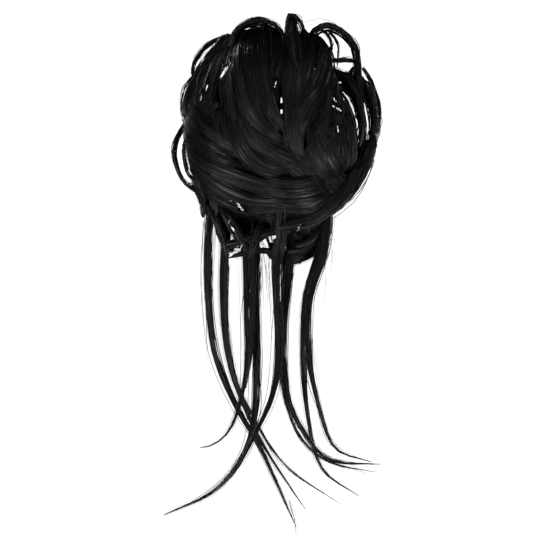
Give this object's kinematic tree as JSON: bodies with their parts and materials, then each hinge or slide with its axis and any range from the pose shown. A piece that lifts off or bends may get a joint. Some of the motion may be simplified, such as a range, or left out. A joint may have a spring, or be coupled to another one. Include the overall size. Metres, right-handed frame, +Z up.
{
  "type": "top knot hairpiece",
  "caption": "Tousled top knot hairpiece: a round bun of looped hair locks, hollow at the back with an elastic band to grip gathered hair, and long thin tendrils hanging below.",
  "frame": {"origin": "centre of the elastic band at the back of the bun, where the hairpiece sits on the wearer's own gathered hair", "axes": "+Z up along the hanging tendrils and the head, +Y from the bun through the elastic band towards the wearer's head, so the front of the bun faces -Y and +X is to the right in the front view"},
  "size_m": [0.1529, 0.0833, 0.3613],
  "materials": {
    "hair": "natural black hair fibre with a soft satin sheen along the strands",
    "elastic": "black covered elastic, matt, finely ribbed"
  },
  "bodies": {
    "root": {"elastic_band": "elastic", "bun": "hair", "crown_loop_left": "hair", "crown_loop_middle": "hair", "crown_loop_right": "hair", "side_loop_left_upper": "hair", "side_loop_left_outer": "hair", "side_loop_left_inner": "hair", "side_loop_right": "hair", "nape_curl_right": "hair", "nape_curl_middle": "hair", "nape_curl_left": "hair", "tendril_1": "hair", "tendril_2": "hair", "tendril_3": "hair", "tendril_4": "hair", "tendril_5": "hair", "tendril_6": "hair", "tendril_7": "hair", "tendril_8": "hair", "tendril_9": "hair", "tendril_10": "hair"}
  },
  "joints": []
}
